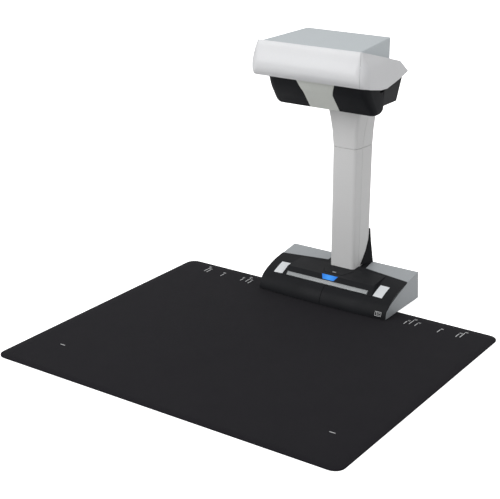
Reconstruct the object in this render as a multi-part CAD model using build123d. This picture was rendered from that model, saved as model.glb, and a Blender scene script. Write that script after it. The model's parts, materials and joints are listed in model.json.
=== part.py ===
from build123d import *
import math
import os

os.makedirs("parts", exist_ok=True)

# Overhead book scanner: a low weighted base with a control deck, a slim column at its rear and a
# head that reaches forward over a dark background mat. Millimetres, +Z up, +X to the right as a
# reader sits, -Y towards the reader. Lengths below are measured from the base's front edge (Y = 0
# of the design) and from the table; save() moves every piece to the middle of the whole footprint.

# ---------------------------------------------------------------- driving dimensions
overall_height = 383.0       # table to the top of the hood
base_width = 210.0
base_rear = 95.0             # rear wall of the base, behind the design line
base_rear_height = 44.0      # top of the grey shell at its rear edge
head_width = 180.0           # across the visor's front corners
head_front = -60.0           # foremost point of the visor
head_rear = 95.5             # tips of the two wings
mat_width = 516.0
mat_front = -389.0           # front edge of the mat
mat_rear = 33.8              # rear edge of the mat, under the base
mat_thickness = 2.0

# walls and clearances
shell_wall = 2.5             # base, column and head mouldings
thin_wall = 2.0              # scan unit mouldings
seam_gap = 0.3               # open joint line between two mouldings
running_gap = 0.05           # radial clearance of a turning shaft
button_gap = 0.4             # around each button
mat_gap = 0.8                # mat to the underside of the base
fit_gap = 0.1                # parts that slip together and are then screwed

# base
base_gap = mat_thickness + mat_gap     # height of the lower edge of the mouldings
foot_radius = 7.0
foot_seat = 0.8              # depth of the recess that holds a foot
foot_front_y = 8.0
foot_rear_y = 80.0
foot_front_x = 78.0
foot_rear_x = 88.0
floor_thickness = 2.5
ballast_thickness = 8.0
lip_bow = 4.3                # the front lip stands this much further out at its middle
column_slot_half = 32.0      # half width of the black block let into the grey top

# controls
scan_bar_length = 134.0
scan_bar_height = 6.2
scan_bar_tilt = 51.0         # slope of the bar's face from level
scan_bar_y = 11.1
scan_bar_z = 29.8
scan_travel = 1.2
stop_travel = 0.8
patch_inner = 75.5
patch_outer = 90.0
patch_front_y = 10.9
patch_rear_y = 34.0

# column
column_foot_z = 38.0
collar_drop = 163.0          # hood's top down to the joint between the column and the flared collar
frame_half = 11.0            # half width of the steel channel inside
frame_front_y = 68.0
frame_rear_y = 88.0
frame_wall = 2.0

# head, as depths below the hood's top
visor_top_drop = 3.0
visor_lip_drop = 50.0
wing_top_rear_drop = 33.4
wing_tip_drop = 52.5
wing_bottom_drop = 61.5
scan_bottom_drop = 95.8
axle_drop = 45.0             # scan unit's turning axis below the hood's top
axle_y = -2.0
hood_rear_y = 51.0
scan_unit_width = 154.0
scan_upper_half = 58.0       # half width of the scan unit inside the head
cheek_x = 63.0               # inner face of the chassis cheeks
cheek_thickness = 2.0
axle_radius = 3.0
bush_wall = 2.0
sweep_limit = 50.0           # degrees that the scan unit turns

# gears
gear_module = 0.6
scan_gear_teeth = 60
idler_small_teeth = 18
idler_large_teeth = 36
pinion_teeth = 18
gear_width = 3.0
idler_direction = 10.0       # degrees above rearwards, from the scan axis
pinion_direction = -30.0     # degrees, from the idler axis
gear_backlash = 0.12

# connectors at the rear of the base
power_x = -64.0
power_bore = 2.75
power_bore_length = 9.0
usb_x = -46.0
board_thickness = 1.6

# ---------------------------------------------------------------- derived places
board_low = base_gap + floor_thickness + ballast_thickness + 3.0
power_z = board_low + board_thickness + 4.6
harness_z = board_low + 4.4
footprint_middle = (mat_front + base_rear) / 2
base_half = base_width / 2
head_half = head_width / 2
mat_half = mat_width / 2
head_top = overall_height
axle_z = head_top - axle_drop
bush_radius = axle_radius + bush_wall
collar_z = head_top - collar_drop
floor_top = base_gap + floor_thickness
split_inner_y = base_rear - 29.0       # grey and black meet here beside the column
split_outer_y = base_rear - 37.6       # and here at the sides
split_z = base_rear_height - 5.0


# ---------------------------------------------------------------- helpers
def save(name, *shapes):
    """Write one node, moved so that the origin is the middle of the whole footprint."""
    moved = [Pos(0, -footprint_middle, 0) * shape for shape in shapes]
    solids = [solid for shape in moved for solid in shape.solids()]
    part = solids[0] if len(solids) == 1 else Compound(children=solids)
    export_step(part, f"parts/{name}.step")
    return part


def block(x0, x1, y0, y1, z0, z1):
    middle = Pos((x0 + x1) / 2, (y0 + y1) / 2, (z0 + z1) / 2)
    return middle * Box(abs(x1 - x0), abs(y1 - y0), abs(z1 - z0))


def rod_x(y, z, radius, x0, x1):
    return Pos((x0 + x1) / 2, y, z) * Rot(0, 90, 0) * Cylinder(radius, abs(x1 - x0))


def rod_y(x, z, radius, y0, y1):
    return Pos(x, (y0 + y1) / 2, z) * Rot(90, 0, 0) * Cylinder(radius, abs(y1 - y0))


def rod_z(x, y, radius, z0, z1):
    return Pos(x, y, (z0 + z1) / 2) * Cylinder(radius, abs(z1 - z0))


def side_prism(points, x0, x1):
    """A side outline, as (y, z) points, carried across from x0 to x1."""
    outline = Polyline(*[(x0, y, z) for y, z in points], close=True)
    return extrude(make_face(outline), amount=x1 - x0, dir=(1, 0, 0))


def plan_prism(points, z0, z1):
    """A plan outline, as (x, y) points, carried up from z0 to z1."""
    outline = Polyline(*[(x, y, z0) for x, y in points], close=True)
    return extrude(make_face(outline), amount=z1 - z0, dir=(0, 0, 1))


def both_sides(shape):
    return [shape, mirror(shape, about=Plane.YZ)]


def mirrored_plan(right_side):
    """Close a plan outline from its right-hand points, listed from front to rear."""
    left_side = [(-x, y) for x, y in reversed(right_side)]
    return right_side + left_side


# ---------------------------------------------------------------- base
def lip_profile():
    """The control deck's curved front, from its rear joint down to the foot of the lip."""
    rise = split_z - 39.0
    return [(split_inner_y + 0.5, 42.0 + rise), (52.8, 39.5 + rise), (43.8, 38.1 + rise),
            (29.3, 34.9 + rise), (13.2, 29.3 + rise), (3.4, 24.3 + rise * 0.8), (-1.2, 20.6 + rise * 0.6),
            (-4.8, 15.7 + rise * 0.4), (-8.2, 7.0), (-8.6, base_gap)]


def deck_form(drop=0.0, back=0.0):
    """The bowed front form: its profile turned about a distant upright axis."""
    curve = Spline(*[(0, y + back, z - drop) for y, z in lip_profile()])
    start, end = curve @ 0, curve @ 1
    floor = base_gap - 10
    edges = Polyline(end, (0, end.Y, floor), (0, start.Y, floor), start)
    radius = (base_half ** 2 + lip_bow ** 2) / (2 * lip_bow)
    axis = Axis((0, lip_profile()[-1][0] + radius, 0), (0, 0, 1))
    half_turn = math.degrees(math.asin((base_half + 15) / radius))
    face = make_face(Curve() + [curve, edges])
    return revolve(face.rotate(axis, -half_turn), axis, 2 * half_turn)


def side_edge():
    """Front edge of the grey side panels, from the foot to the top corner."""
    return [(-3.4, base_gap), (-2.8, 9.7), (-0.6, 14.0), (4.8, 17.7), (14.6, 22.0), (26.2, 26.6),
            (38.0, 30.8), (49.9, 34.6), (split_outer_y, split_z - 1.5)]


def split_plan(gap):
    """Plan of everything in front of the joint between the black deck and the grey shell."""
    return mirrored_plan([(base_half + 5, -20), (base_half + 5, split_outer_y - gap - 0.6),
                          (base_half, split_outer_y - gap),
                          (column_slot_half, split_inner_y - gap)])


rear_slope = 4.0             # the rear wall leans in by this much at its top
base_inner_rear = base_rear - shell_wall - rear_slope


def grey_form(inset):
    rear = base_rear - inset
    top = base_rear_height - inset
    points = side_edge() + [(split_outer_y, split_z - inset), (rear - rear_slope, top), (rear, base_gap - inset)]
    if inset:
        points[0] = (-3.4, base_gap - inset)
    return side_prism(points, -(base_half - inset), base_half - inset)


def column_slot(gap, z0, z1):
    """The black block's room in the middle of the grey shell's top and rear edge."""
    return plan_prism(mirrored_plan([(column_slot_half + gap, split_inner_y - 30),
                                     (column_slot_half + gap, split_inner_y),
                                     (column_slot_half - 2 + gap, base_rear + 2)]), z0, z1)


def base_shell():
    outer = grey_form(0)
    hollow = block(-(base_half - shell_wall), base_half - shell_wall, -30, base_inner_rear,
                   base_gap - 5, base_rear_height + 20)
    lid = grey_form(shell_wall)
    shell = outer - (hollow & lid) - block(-(base_half - shell_wall), base_half - shell_wall,
                                           -30, split_outer_y - 12, base_gap - 5, 80)
    front = plan_prism(mirrored_plan([(base_half - shell_wall, -20), (base_half - shell_wall, split_outer_y),
                                      (column_slot_half, split_inner_y)]), base_gap - 5, 80)
    shell = shell - front - column_slot(0, base_rear_height - 9, 80)
    low = board_low + board_thickness
    sockets = block(usb_x - 6.3, usb_x + 6.3, base_rear - 10, base_rear + 5, low - 0.3, low + 11.3)
    return shell - sockets - rod_y(power_x, power_z, 4.3, base_rear - 10, base_rear + 5)


def deck_cover():
    outer = deck_form()
    inner = deck_form(drop=2.2, back=2.0)
    skin = outer - inner
    skin = skin & plan_prism(split_plan(0.15), base_gap, 80)
    skin = skin & block(-base_half, base_half, -20, 80, base_gap, 80)
    sides = block(-(base_half + 5), base_half + 5, -30, 80, base_gap - 1, 80)
    panel = side_prism([(y - 0.1, z + 0.1) for y, z in side_edge()] +
                       [(split_outer_y + 8, split_z - 1.4), (split_outer_y + 8, base_gap - 1), (-3.5, base_gap - 1)],
                       -(base_half + 6), base_half + 6)
    rims = sides - block(-(base_half - shell_wall - 0.2), base_half - shell_wall - 0.2, -40, 90, base_gap - 2, 90)
    return skin - (panel & rims) - lip_groove()


groove_width = 0.7
groove_depth = 0.8


def lip_groove():
    """Fine upright groove in the middle of the lip, from its foot to the console's nose."""
    skin = deck_form() - deck_form(drop=groove_depth, back=groove_depth)
    return skin & block(-groove_width / 2, groove_width / 2, -20, console_foot_y + 1, 0, console_foot_z + 2)


console_half = 70.0          # raised part of the deck, at its top
console_rear_y = 57.0
console_flat_z = 37.8        # where the flat top meets the sloping nose
console_nose_y = 20.3
console_foot_y = 8.4
console_foot_z = 26.6


def console_outline(drop):
    return [(console_foot_y, console_foot_z - drop), (console_nose_y, console_flat_z - drop),
            (console_rear_y, 40.4 - drop), (console_rear_y, base_gap), (console_foot_y, base_gap)]


def console_form(drop, spread):
    """Raised control panel: flat behind, a nose at the front and sloping ends."""
    body = side_prism(console_outline(drop), -(console_half + 6), console_half + 6)
    foot, head = console_half + 5 + spread, console_half + spread
    ends = extrude(make_face(Polyline((-foot, 0, 26), (foot, 0, 26), (head, 0, 42), (-head, 0, 42), close=True)),
                   amount=80, dir=(0, 1, 0))
    lower = block(-foot, foot, -1, 80, base_gap - 1, 26)
    return body & (ends + lower)


def console_shell():
    inner = Pos(0, 2.0, 0) * console_form(2.2, -2.2) & block(-200, 200, -50, console_rear_y - 2.2, 0, 80)
    return console_form(0, 0) - inner - block(-100, 100, -20, 80, 0, console_foot_z - 2.6)


def nose_plane(lift=0.0):
    """Working plane of the scan bar: its face looks up and towards the reader."""
    tilt = math.radians(scan_bar_tilt)
    normal = Vector(0, -math.sin(tilt), math.cos(tilt))
    origin = Vector(0, scan_bar_y, scan_bar_z) + normal * lift
    return Plane(origin=origin, x_dir=(1, 0, 0), z_dir=normal)


bar_face = 0.9               # the bar's face stands this far above the nose
bar_depth = 3.6
bar_flange = 1.2
bar_post_length = 3.4
switch_height = 2.6
bar_board_lift = -(bar_depth - bar_face + bar_flange + bar_post_length + scan_travel + 0.15 + switch_height)
bar_post_x = 46.0


def on_nose(shape):
    return nose_plane().location * shape


def scan_bar():
    body = Pos(0, 0, bar_face - bar_depth / 2) * Box(scan_bar_length, scan_bar_height, bar_depth)
    body = fillet(body.edges().group_by(Axis.Z)[-1], 0.7)
    top = bar_face - bar_depth
    flange = Pos(0, 0, top - bar_flange / 2) * Box(scan_bar_length + 3, scan_bar_height + 2.2, bar_flange)
    shape = body + flange
    shape -= Pos(0, scan_bar_height / 2 + 1.15, top - 1) * Box(2 * lamp_top_half + 6, 2.1, 3)
    for x in (-bar_post_x, 0, bar_post_x):
        shape += Pos(x, 0, top - bar_flange - bar_post_length / 2) * Cylinder(1.6, bar_post_length)
    return on_nose(shape)


def scan_bar_room():
    slot = Pos(0, 0, 0) * Box(scan_bar_length + 2 * button_gap, scan_bar_height + 2 * button_gap, 20)
    low = bar_face - bar_depth - bar_flange - scan_travel - 0.3
    high = bar_face - bar_depth + 0.35
    under = Pos(0, 0, (low + high) / 2) * Box(scan_bar_length + 5, scan_bar_height + 4.0, high - low)
    return on_nose(slot + under)


def scan_switches():
    parts = []
    for x in (-bar_post_x, 0, bar_post_x):
        case = Pos(x, 0, bar_board_lift + switch_height / 2 - 0.3) * Box(6, 6, switch_height - 0.6)
        plunger = Pos(x, 0, bar_board_lift + switch_height - 0.35) * Cylinder(1.7, 0.7)
        parts.append(on_nose(case + plunger))
    return parts


def control_board():
    return on_nose(Pos(0, 0, bar_board_lift - board_thickness / 2) * Box(scan_bar_length - 22, 9, board_thickness))


lamp_top_half = 13.2
lamp_foot_half = 8.9
lamp_front_y = 14.9
lamp_rear_y = 20.4


def lamp_plan(gap):
    return plan_prism([(-lamp_foot_half - gap, lamp_front_y - gap), (lamp_foot_half + gap, lamp_front_y - gap),
                       (lamp_top_half + gap, lamp_rear_y + gap), (-lamp_top_half - gap, lamp_rear_y + gap)], 20, 60)


def power_light_guide():
    guide = Pos(0, 0, 0.25) * console_form(0, 0) & lamp_plan(0)
    return guide - console_form(1.8, 8)


# ---------------------------------------------------------------- column
def column_section(z, inset=0.0):
    """Plan outline of the column at a height: flat front, angled strips, straight sides."""
    t = (z - column_foot_z) / (collar_z - column_foot_z)
    half = 19.5 - 0.7 * t - inset
    front = 53.0 - 3.4 * t + inset
    rear = base_rear - 0.8 - inset
    return mirrored_plan([(half, front), (column_seam_half - inset, column_seam_y),
                          (column_rear_half - inset, rear - 3.0), (column_rear_half - 2.4 - inset * 0.6, rear)])


column_seam_y = 66.0
column_seam_half = 20.7
column_rear_half = 22.3
column_wall = 2.2


def section_face(points, z):
    return make_face(Polyline(*[(x, y, z) for x, y in points], close=True))


column_corner = 5.0          # radius of the front edges of the column and the collar
inner_corner = 0.6           # least radius of the same edges inside the shells


def rounded_section(points, z, inset):
    """A plan section with round front corners, tighter inside the wall than outside."""
    radius = column_corner - inset if inset <= 0 else max(inner_corner, column_corner - 2 * inset)
    face = section_face(points, z)
    return fillet(face.vertices().sort_by(Axis.Y)[:2], radius)


def column_form(z0, z1, inset=0.0):
    return loft([rounded_section(column_section(z, inset), z, inset) for z in (z0, z1)], ruled=True)


def column_half_shell(z0, z1, front):
    shell = column_form(z0, z1) - column_form(z0 - 1, z1 + 1, column_wall)
    if front:
        return shell & block(-60, 60, 0, column_seam_y - seam_gap / 2, 0, head_top)
    return shell & block(-60, 60, column_seam_y + seam_gap / 2, 120, 0, head_top)


collar_levels = [(0.0, 0.0), (0.28, 0.12), (0.5, 0.33), (0.75, 0.70), (1.0, 1.12), (1.28, 1.12)]
collar_reach = 82.0          # height over which the collar flares out


collar_seam_lean = 5.0       # the joint leans back by this much over the flare


def collar_section(rise, flare, inset):
    """The collar widens and leans forward as it climbs into the head."""
    half = 18.8 + 13.5 * flare - inset
    front = 49.4 - 3.4 * min(1.0, rise * 1.6) + inset
    rear = base_rear - 0.8 - inset
    seam = column_seam_y + collar_seam_lean * rise
    return mirrored_plan([(half, front), (column_seam_half + 13.3 * flare - inset, seam),
                          (column_rear_half + 9.5 * flare - inset, rear - 3.0),
                          (column_rear_half - 2.4 + 8.5 * flare - inset * 0.6, rear)])


def collar_form(inset=0.0, extra=0.0):
    faces = []
    for rise, flare in collar_levels:
        z = collar_z + seam_gap + rise * collar_reach
        if rise == 0.0:
            z -= extra
        if (rise, flare) == collar_levels[-1]:
            z += extra
        faces.append(rounded_section(collar_section(rise, flare, inset), z, inset))
    return loft(faces, ruled=True)


def collar_shell(front):
    shell = collar_form() - collar_form(column_wall, extra=0.5)
    top = collar_z + seam_gap + collar_reach
    z0, high = collar_z + seam_gap, top + 40
    lean = collar_seam_lean * (high - z0) / collar_reach
    split = side_prism([(0, z0 - 1), (column_seam_y, z0), (column_seam_y + lean, high), (0, high)], -60, 60)
    if front:
        return shell & (Pos(0, -seam_gap / 2, 0) * split) & block(-60, 60, 0, 120, 0, top)
    return shell - Pos(0, seam_gap / 2, 0) * split


# the gusset's sections: height above the grey top, front edge from the rear wall, half widths
gusset_levels = [(-1.0, -25.0, -1.1, column_slot_half - 1.2), (8.0, -18.0, -0.6, 29.2),
                 (18.0, -11.2, -0.1, 27.4), (33.0, -5.2, 0.2, 24.8), (49.0, -3.3, 0.2, 22.8)]


def rear_gusset():
    """Block behind the column's foot; its front edge curves back as it climbs to a point."""
    faces = []
    for rise, front, spread, rear_half in gusset_levels:
        plan = [(column_rear_half + spread, base_rear + front), (rear_half, base_rear - 0.5 - 2.7 * rear_lean(rise))]
        faces.append(section_face(mirrored_plan(plan), base_rear_height + rise))
    fin = loft(faces, ruled=True)
    seat = column_slot(-0.15, base_rear_height - 8.8, base_rear_height - 0.6)
    seat = (seat & grey_form(0.1)) - plan_prism(split_plan(-0.6), 0, 100)
    return fin + seat - column_form(20, 160, -0.12)


def rear_lean(rise):
    """1 at the grey top, 0 at the gusset's point."""
    return 1 - max(0.0, rise) / gusset_levels[-1][0]


def column_frame():
    """Folded steel channel with a foot flange and a head flange."""
    foot = floor_top + ballast_thickness
    top = chassis_floor
    outer = block(-frame_half, frame_half, frame_front_y, frame_rear_y, foot, top)
    inner = block(-frame_half + frame_wall, frame_half - frame_wall, frame_front_y + frame_wall,
                  frame_rear_y + 5, foot - 1, top + 1)
    flange = block(-26, 26, 56, base_inner_rear - 0.3, foot, foot + 2.5) - inner
    cap = block(-17, 17, 52, frame_rear_y + 2, top - 2.0, top) - inner
    frame = outer - inner + flange + cap - rod_x(78, harness_z, 3.2, -frame_half - 1, -frame_half + 3)
    for x in (-21, 21):
        for y in (61, 84):
            frame -= rod_z(x, y, screw_radius + 0.2, foot - 1, foot + 4)
    for x, y in cap_screws():
        frame -= rod_z(x, y, screw_radius + 0.2, top - 3, top + 1)
    return frame


def cap_screws():
    return [(x, y) for x in (-13, 13) for y in (57, 86)]


screw_radius = 1.5
chassis_floor = head_top - 65.0


# ---------------------------------------------------------------- head
# the visor's plan at six depths below the hood's top: setback of its front, extra half width,
# how much each side closes in per millimetre rearwards, and the radius of its front corners
visor_levels = [(-63.0, 12.0, -1.0, 0.150, 9.0), (-50.0, 8.0, 0.5, 0.150, 9.5), (-42.0, 1.6, 1.2, 0.153, 14.0),
                (-34.0, 0.0, 1.5, 0.155, 16.0), (-18.0, 4.0, -2.5, 0.138, 11.0), (-2.0, 9.6, -9.2, 0.120, 4.0)]
taper_start = 15.0           # the sides begin to close in this far behind the front


def visor_section(level, inset):
    drop, back, spread, taper, corner = level
    z = head_top + drop
    front = head_front + back + inset
    near = head_half + spread - inset
    rear_y = head_rear + (10 if inset else 0)
    far = near - taper * (rear_y - front - taper_start)
    corners = [(near, front), (far, rear_y), (-far, rear_y), (-near, front)]
    wire = Polyline(*[(x, y, z) for x, y in corners], close=True)
    face = make_face(wire)
    fronts = [v for v in face.vertices() if v.Y < front + 1]
    return fillet(fronts, corner - inset)


def visor_form(inset=0.0):
    return loft([visor_section(level, inset) for level in visor_levels])


def wing_outline(inset=0.0):
    """Side view of the visor and its wings: a wedge that runs back to a point."""
    t = head_top
    return [(-75, t - visor_top_drop - inset), (-51 + inset, t - visor_top_drop - inset),
            (65, t - wing_top_rear_drop - inset), (80, t - 42.4 - inset),
            (head_rear - 2.6 * inset, t - wing_tip_drop), (66.8, t - 56.8 + inset),
            (18.5, t - wing_bottom_drop - 0.3 + inset), (-3.6, t - 59.5 + inset), (-50, t - visor_lip_drop + inset),
            (-75, t - visor_lip_drop + inset)]


def hood_plan(inset, gap=0.0):
    front, rear = -46.5 + inset - gap, hood_rear_y - inset + gap
    near = 74.8 - inset + gap
    far = near - 0.097 * (hood_rear_y + 46.5)
    return mirrored_plan([(near, front), (far, rear)])


def hood_solid(inset, gap, low, top_drop):
    body = plan_prism(hood_plan(inset, gap), low, head_top + 5)
    t = head_top - top_drop
    roof = side_prism([(-60, t - 4.6), (-46.5, t - 3.8), (hood_rear_y + 4, t), (hood_rear_y + 4, low - 1),
                       (-60, low - 1)], -100, 100)
    return body & roof


def hood_top_cover():
    outer = hood_solid(0, 0, head_top - 46, 0)
    edges = outer.edges().filter_by(Axis.Z).sort_by(Axis.Y)[-2:]
    outer = fillet(edges, 2.5)
    top = outer.faces().sort_by(Axis.Z)[-1]
    outer = fillet([e for e in top.edges() if e.center().Y > -46], 1.6)
    shell = outer - hood_solid(shell_wall, 0, head_top - 60, shell_wall)
    skirt = side_prism([(-60, head_top - 12), (-46.5, head_top - 12), (hood_rear_y + 5, head_top - 38.5),
                        (hood_rear_y + 5, head_top + 9), (-60, head_top + 9)], -100, 100)
    return (shell & skirt) - scan_gear_room()


def unit_room():
    """Opening under the head for the turning scan unit and the fixed rear housing."""
    low = head_top - 100
    near, far = 80.2, 76.6
    front = plan_prism(mirrored_plan([(near, -42.0), (near, -8), (far, housing_front_y - 1)]), low, head_top - 42)
    rear = plan_prism(mirrored_plan([(far, housing_front_y - 1), (66.6, 88)]), low, head_top - 52)
    return front + rear


def visor_band():
    outer = visor_form() & side_prism(wing_outline(), -120, 120)
    inner = visor_form(shell_wall) & side_prism(wing_outline(shell_wall), -120, 120)
    return outer - inner - hood_solid(0, 0.2, head_top - 60, -6) - unit_room()


visor_split = 78.0           # half width of the visor's front panel at its top edge
visor_split_front = 82.0     # and where the front bulges out furthest
visor_top_y = -51.0
deck_half = 60.0


def front_panel_zone(gap):
    """Room of the visor's front panel; its ends widen with the bulge."""
    slope = (visor_split_front - visor_split) / (visor_top_y - head_front)
    return plan_prism(mirrored_plan([(visor_split_front + 20 * slope + gap, head_front - 20),
                                     (visor_split + gap, visor_top_y), (visor_split - 2.5 + gap, -46.5),
                                     (visor_split - 2.5 + gap, -25 + max(0.0, gap * 2))]), 100, head_top + 50)


def visor_parts():
    band = visor_band()
    half_gap = seam_gap / 2
    front_zone, wide_zone = front_panel_zone(-half_gap), front_panel_zone(half_gap)
    deck_zone = block(-(deck_half - half_gap), deck_half - half_gap, hood_rear_y - 5, 120, 100, head_top + 50)
    deck_cut = block(-(deck_half + half_gap), deck_half + half_gap, hood_rear_y - 5, 120, 100, head_top + 50)
    wings = band - wide_zone - deck_cut
    right = wings & block(0, 120, -80, 120, 100, head_top + 50)
    left = wings & block(-120, 0, -80, 120, 100, head_top + 50)
    return band & front_zone, left, right, band & deck_zone


housing_front_y = 18.0


def housing_form(inset):
    t = head_top
    body = plan_prism(mirrored_plan([(76.0 - inset, housing_front_y + inset), (64.8 - inset, 92 + 6)]), 100, head_top)
    side = side_prism([(housing_front_y + inset, t - 86.0 + inset), (67.8 - inset * 0.7, t - 89.2 + inset),
                       (86.4 - inset, t - 60.5), (88.5 - inset, t - 56 + inset),
                       (housing_front_y + inset, t - 56 + inset)], -100, 100)
    return body & side


def underside_housing():
    shell = housing_form(0) - housing_form(shell_wall)
    shell = shell - block(-90, 90, 0, housing_front_y + shell_wall + 1, chassis_floor - 0.5, head_top)
    return shell - collar_form(-0.15, extra=40) - pinion_room()


def scan_gear_room():
    return rod_x(axle_y, axle_z, scan_gear_radius + gear_module + gear_room, gear_plane - gear_room,
                 gear_plane + gear_width + gear_room)


def pinion_room():
    return rod_x(motor_y, motor_z, pinion_radius + gear_module + gear_room, outer_plane - gear_room,
                 outer_plane + gear_width)


def head_chassis():
    """Bent steel tray on the column's head flange, with two cheeks that carry the scan unit."""
    outer = cheek_x + cheek_thickness
    floor = plan_prism(mirrored_plan([(outer, 24), (outer, 46), (58, 62)]), chassis_floor,
                       chassis_floor + cheek_thickness)
    floor += block(-17, 17, 60, 90, chassis_floor, chassis_floor + cheek_thickness)
    cheek = side_prism([(-12, axle_z - 8), (-12, axle_z + 6), (-6, axle_z + 12), (26, axle_z + 12),
                        (46, axle_z + 1), (46, chassis_floor), (24, chassis_floor), (10, axle_z - 12)],
                       cheek_x, cheek_x + cheek_thickness)
    cheek = cheek - rod_x(axle_y, axle_z, bush_radius, cheek_x - 1, cheek_x + cheek_thickness + 1)
    chassis = floor
    for piece in both_sides(cheek):
        chassis += piece
    chassis -= rod_x(idler_y, idler_z, idler_pin_radius, cheek_x - 1, cheek_x + cheek_thickness + 1)
    chassis -= rod_x(motor_y, motor_z, 4.0, cheek_x - 1, cheek_x + cheek_thickness + 1)
    chassis -= block(-8.9, 8.9, 70.2, 84, chassis_floor - 1, chassis_floor + 5)
    for x, y in cap_screws():
        chassis -= rod_z(x, y, screw_radius + 0.2, chassis_floor - 1, chassis_floor + 5)
    return chassis


# gear train
scan_gear_radius = gear_module * scan_gear_teeth / 2
idler_small_radius = gear_module * idler_small_teeth / 2
idler_large_radius = gear_module * idler_large_teeth / 2
pinion_radius = gear_module * pinion_teeth / 2
idler_distance = scan_gear_radius + idler_small_radius + gear_backlash
pinion_distance = idler_large_radius + pinion_radius + gear_backlash
idler_y = axle_y + idler_distance * math.cos(math.radians(idler_direction))
idler_z = axle_z + idler_distance * math.sin(math.radians(idler_direction))
motor_y = idler_y + pinion_distance * math.cos(math.radians(pinion_direction))
motor_z = idler_z + pinion_distance * math.sin(math.radians(pinion_direction))
idler_pin_radius = 1.5
gear_room = 0.4              # air kept between the gears and the mouldings
gear_plane = cheek_x + cheek_thickness + 1.4
outer_plane = gear_plane + gear_width + 0.6


def involute_gear(teeth, x0, width, centre, phase, bore):
    """Spur gear about an axis along X; phase is the direction of one tooth's middle, in degrees."""
    pitch = gear_module * teeth / 2
    base = pitch * math.cos(math.radians(20))
    tip = pitch + 0.85 * gear_module
    root = pitch - 1.15 * gear_module
    half_tooth = (math.pi * gear_module / 2 - gear_backlash) / (2 * pitch)

    def involute(radius):
        if radius <= base:
            return 0.0
        angle = math.acos(base / radius)
        return math.tan(angle) - angle

    def at(radius, angle):
        return (x0, centre[0] + radius * math.cos(angle), centre[1] + radius * math.sin(angle))

    pitch_involute = involute(pitch)
    foot = max(root, base)
    points = []
    for tooth in range(teeth):
        middle = math.radians(phase) + 2 * math.pi * tooth / teeth
        flank = [(r, half_tooth + pitch_involute - involute(r)) for r in (foot, (foot + tip) / 2, tip)]
        left = [(r, middle - a) for r, a in flank]
        right = [(r, middle + a) for r, a in reversed(flank)]
        points.append((root, left[0][1] - 0.012))
        points += left + right
        points.append((root, right[-1][1] + 0.012))
    outline = Polyline(*[at(r, a) for r, a in points], close=True)
    gear = extrude(make_face(outline), amount=width, dir=(1, 0, 0))
    return gear - rod_x(centre[0], centre[1], bore, x0 - 1, x0 + width + 1)


def scan_gear():
    return involute_gear(scan_gear_teeth, gear_plane, gear_width, (axle_y, axle_z), idler_direction, axle_radius)


def idler_gear():
    centre = (idler_y, idler_z)
    bore = idler_pin_radius + running_gap
    small_phase = idler_direction + 180 + 180 / idler_small_teeth
    small = involute_gear(idler_small_teeth, gear_plane, gear_width + 0.6, centre, small_phase, bore)
    large = involute_gear(idler_large_teeth, outer_plane, gear_width - 0.5, centre, pinion_direction, bore)
    return small + large


def motor_pinion():
    phase = pinion_direction + 180 + 180 / pinion_teeth
    gear = involute_gear(pinion_teeth, outer_plane, gear_width - 0.5, (motor_y, motor_z), phase, 0.4)
    hub = rod_x(motor_y, motor_z, 2.2, cheek_x - 2.2, outer_plane + gear_width - 0.5)
    return gear + hub


def idler_pin():
    pin = rod_x(idler_y, idler_z, idler_pin_radius, cheek_x - 1.5, outer_plane + gear_width + 0.2)
    return pin + rod_x(idler_y, idler_z, idler_pin_radius + 1.2, cheek_x - 1.5, cheek_x)


motor_radius = 11.0
motor_length = 20.0


def drive_motor():
    can = rod_x(motor_y, motor_z, motor_radius, cheek_x - motor_length, cheek_x)
    can = can - rod_x(motor_y, motor_z, 2.2 + running_gap, cheek_x - 3, cheek_x + 1)
    return can


def axle_bushes():
    bushes = []
    for sign in (-1, 1):
        x0, x1 = sign * (cheek_x - 1.2), sign * (cheek_x + cheek_thickness + 0.8)
        sleeve = rod_x(axle_y, axle_z, bush_radius, x0, x1)
        rim = rod_x(axle_y, axle_z, bush_radius + 1.4, x0, sign * cheek_x)
        bushes.append(sleeve + rim - rod_x(axle_y, axle_z, axle_radius + running_gap, x0 * 0.9, x1 * 1.1))
    return bushes


# ---------------------------------------------------------------- scan unit (turns about the axle)
unit_rear_top = chassis_floor - 1.0     # the tub's rear wall stops here, under the chassis
unit_draft = 0.04            # each end closes in by this much per millimetre upwards
unit_end_taper = 0.03        # and by this much per millimetre rearwards
unit_height = 41.8
unit_rear_corner = 2.5
unit_spread = 2.6            # the tub's widest level stands this far outside its nominal half width

# the tub's plan at eight heights above its bottom: front, rear, how far each end is drawn in,
# and the radius of its front corners
unit_levels = [(0.0, -5.2, 5.5, 5.2, 6.0), (1.6, -6.6, 9.6, 2.3, 7.0), (5.0, -9.2, 13.4, 0.5, 8.0),
               (10.0, -13.3, 15.6, 0.0, 9.0), (17.5, -19.4, 16.2, 0.0, 10.0), (25.8, -25.8, 16.2, 0.0, 11.0),
               (33.8, -30.4, 16.2, 0.0, 12.0), (unit_height, -34.2, 16.2, 0.0, 12.0)]


def unit_section(level, inset):
    rise, front, rear, drawn_in, corner = level
    z = head_top - scan_bottom_drop + inset + rise * (unit_height - inset) / unit_height
    near = scan_unit_width / 2 + unit_spread - drawn_in - unit_draft * rise - inset
    front, rear = front + inset, rear - inset
    face = section_face(mirrored_plan([(near, front), (near - unit_end_taper * (rear - front), rear)]), z)
    face = fillet(face.vertices().sort_by(Axis.Y)[:2], corner - inset)
    return fillet(face.vertices().sort_by(Axis.Y)[-2:], unit_rear_corner - inset / 2)


def unit_form(inset=0.0):
    body = loft([unit_section(level, inset) for level in unit_levels])
    if inset:
        body += extrude(unit_section(unit_levels[-1], inset), amount=10, dir=(0, 0, 1))
    return body


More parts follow.
